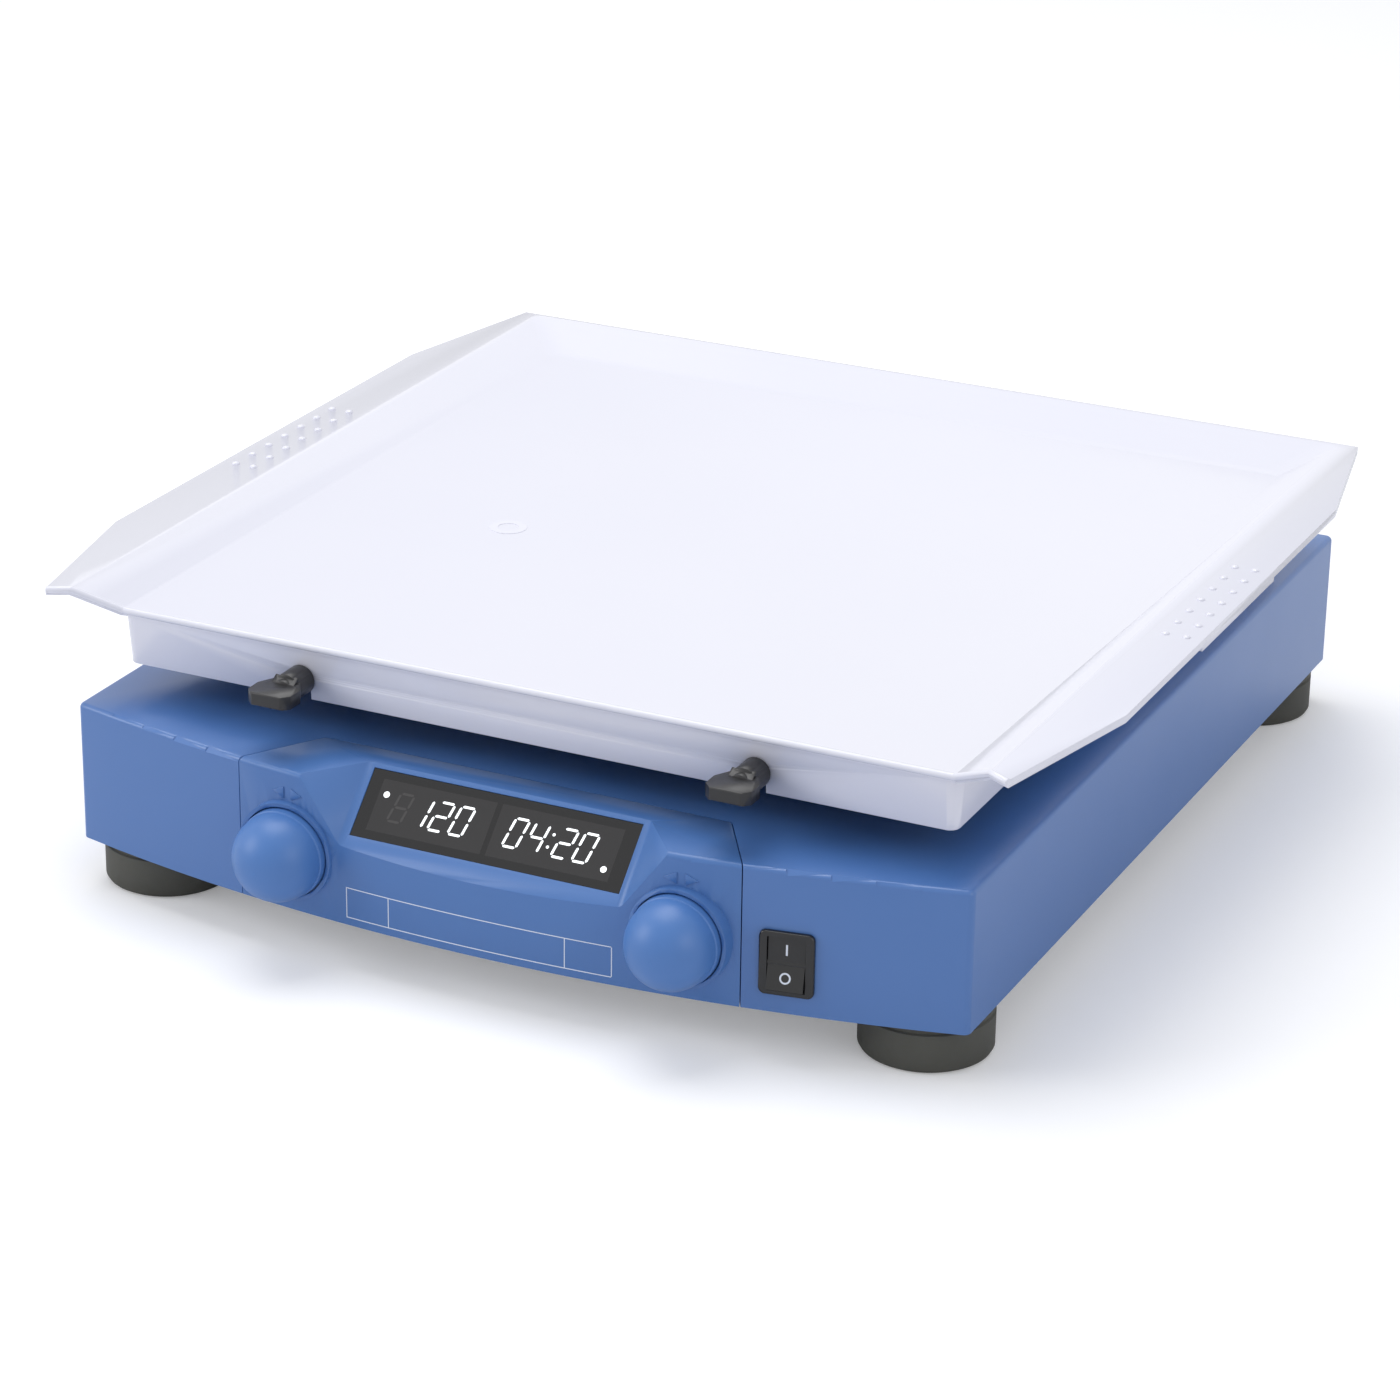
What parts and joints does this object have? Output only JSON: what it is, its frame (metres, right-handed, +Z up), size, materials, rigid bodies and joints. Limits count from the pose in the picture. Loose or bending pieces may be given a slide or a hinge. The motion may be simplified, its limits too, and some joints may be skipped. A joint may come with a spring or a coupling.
{
  "type": "orbital shaker",
  "caption": "Bench orbital shaker: a blue bowed case with a sloped display and two push dials carries a white open-fronted tray on eccentric cranks.",
  "frame": {"origin": "on the bench, in the middle of the whole footprint", "axes": "+Z up, -Y towards the front with the two dials, +X to the right seen from the front"},
  "size_m": [0.424, 0.4494, 0.1211],
  "materials": {
    "cover_blue": "satin",
    "panel_blue": "satin",
    "dial_blue": "satin",
    "display_black": "gloss",
    "switch_black": "gloss",
    "foot_rubber": "matte",
    "tray_white": "gloss",
    "clamp_black": "satin",
    "plate_aluminium": "satin",
    "steel": "satin",
    "motor_metal": "satin",
    "rubber_black": "matte",
    "board_green": "satin",
    "core_steel": "matte",
    "socket_black": "satin",
    "fuse_glass": "gloss"
  },
  "bodies": {
    "base": {"base_plate": "plate_aluminium", "case_cover": "cover_blue", "control_panel": "panel_blue", "display_window": "display_black", "display_board": "board_green", "display_screws": "steel", "left_encoder": "socket_black", "right_encoder": "socket_black", "dial_nuts": "steel", "power_switch": "switch_black", "front_left_foot": "foot_rubber", "front_right_foot": "foot_rubber", "rear_left_foot": "foot_rubber", "rear_right_foot": "foot_rubber", "foot_screws": "steel", "base_screws": "steel", "drive_housing": "plate_aluminium", "guide_housings": "plate_aluminium", "drive_bearings": "steel", "guide_bearings": "steel", "shaft_seals": "rubber_black", "housing_screws": "steel", "motor": "motor_metal", "motor_bracket": "plate_aluminium", "motor_screws": "steel", "drive_belt": "rubber_black", "power_board": "board_green", "transformer": "core_steel", "control_board": "board_green", "board_screws": "steel", "mains_inlet": "socket_black", "inlet_screws": "steel", "serial_socket": "steel"},
    "crank": {"drive_crank": "steel", "drive_pulley": "plate_aluminium", "counterweight": "steel", "counterweight_screws": "steel", "pulley_bolt": "steel"},
    "rotor": {"motor_shaft": "steel", "motor_pulley": "plate_aluminium"},
    "platform": {"table": "plate_aluminium", "table_drive_bearing": "steel", "table_guide_bearings": "steel", "tray": "tray_white"},
    "left_clamp_screw": {"left_clamp": "clamp_black"},
    "right_clamp_screw": {"right_clamp": "clamp_black"},
    "left_detent": {"left_detent_wheel": "socket_black"},
    "right_detent": {"right_detent_wheel": "socket_black"},
    "left_dial": {"left_knob": "dial_blue", "left_spindle": "steel"},
    "right_dial": {"right_knob": "dial_blue", "right_spindle": "steel"},
    "rocker": {"power_rocker": "switch_black"},
    "drawer": {"fuse_drawer": "socket_black", "fuse": "fuse_glass"},
    "front_left_guide": {"front_left_crank": "steel"},
    "front_right_guide": {"front_right_crank": "steel"},
    "rear_left_guide": {"rear_left_crank": "steel"},
    "rear_right_guide": {"rear_right_crank": "steel"}
  },
  "joints": [
    {"name": "crank_spin", "type": "hinge", "parent": "base", "child": "crank", "pos_m": [0, 0.01823, 0.08], "axis": [0, 0, 1], "continuous": true},
    {"name": "table_orbit", "type": "hinge", "parent": "crank", "child": "platform", "pos_m": [0, 0.01323, 0.09], "axis": [0, 0, 1], "continuous": true},
    {"name": "front_left_guide_spin", "type": "hinge", "parent": "base", "child": "front_left_guide", "pos_m": [-0.128, -0.08977, 0.08], "axis": [0, 0, 1], "continuous": true},
    {"name": "front_right_guide_spin", "type": "hinge", "parent": "base", "child": "front_right_guide", "pos_m": [0.128, -0.08977, 0.08], "axis": [0, 0, 1], "continuous": true},
    {"name": "rear_left_guide_spin", "type": "hinge", "parent": "base", "child": "rear_left_guide", "pos_m": [-0.128, 0.12623, 0.08], "axis": [0, 0, 1], "continuous": true},
    {"name": "rear_right_guide_spin", "type": "hinge", "parent": "base", "child": "rear_right_guide", "pos_m": [0.128, 0.12623, 0.08], "axis": [0, 0, 1], "continuous": true},
    {"name": "motor_spin", "type": "hinge", "parent": "base", "child": "rotor", "pos_m": [-0.112, 0.01823, 0.04], "axis": [0, 0, 1], "continuous": true},
    {"name": "left_dial_turn", "type": "hinge", "parent": "base", "child": "left_detent", "pos_m": [-0.081, -0.19973, 0.0435], "axis": [0, -1, 0], "continuous": true},
    {"name": "left_dial_push", "type": "slide", "parent": "left_detent", "child": "left_dial", "axis": [0, 1, 0], "range_m": [0, 0.0007], "stiffness_N_per_m": 3000, "springref_m": -0.001},
    {"name": "right_dial_turn", "type": "hinge", "parent": "base", "child": "right_detent", "pos_m": [0.081, -0.19973, 0.0435], "axis": [0, -1, 0], "continuous": true},
    {"name": "right_dial_push", "type": "slide", "parent": "right_detent", "child": "right_dial", "axis": [0, 1, 0], "range_m": [0, 0.0007], "stiffness_N_per_m": 3000, "springref_m": -0.001},
    {"name": "power_switch_rock", "type": "hinge", "parent": "base", "child": "rocker", "pos_m": [0.1204, -0.1942, 0.039], "axis": [0.9861, 0.1661, 0], "range_deg": [0, 20]},
    {"name": "left_clamp_turn", "type": "hinge", "parent": "platform", "child": "left_clamp_screw", "pos_m": [-0.094, -0.16677, 0.097], "axis": [0, -1, 0], "range_deg": [0, 360]},
    {"name": "right_clamp_turn", "type": "hinge", "parent": "platform", "child": "right_clamp_screw", "pos_m": [0.094, -0.16677, 0.097], "axis": [0, -1, 0], "range_deg": [0, 360]},
    {"name": "fuse_drawer_slide", "type": "slide", "parent": "base", "child": "drawer", "axis": [0, 1, 0], "range_m": [0, 0.015]}
  ],
  "couplings": [
    {"joint": "table_orbit", "follows": "crank_spin", "ratio": -1},
    {"joint": "front_left_guide_spin", "follows": "crank_spin", "ratio": 1},
    {"joint": "front_right_guide_spin", "follows": "crank_spin", "ratio": 1},
    {"joint": "rear_left_guide_spin", "follows": "crank_spin", "ratio": 1},
    {"joint": "rear_right_guide_spin", "follows": "crank_spin", "ratio": 1},
    {"joint": "motor_spin", "follows": "crank_spin", "ratio": 5}
  ]
}
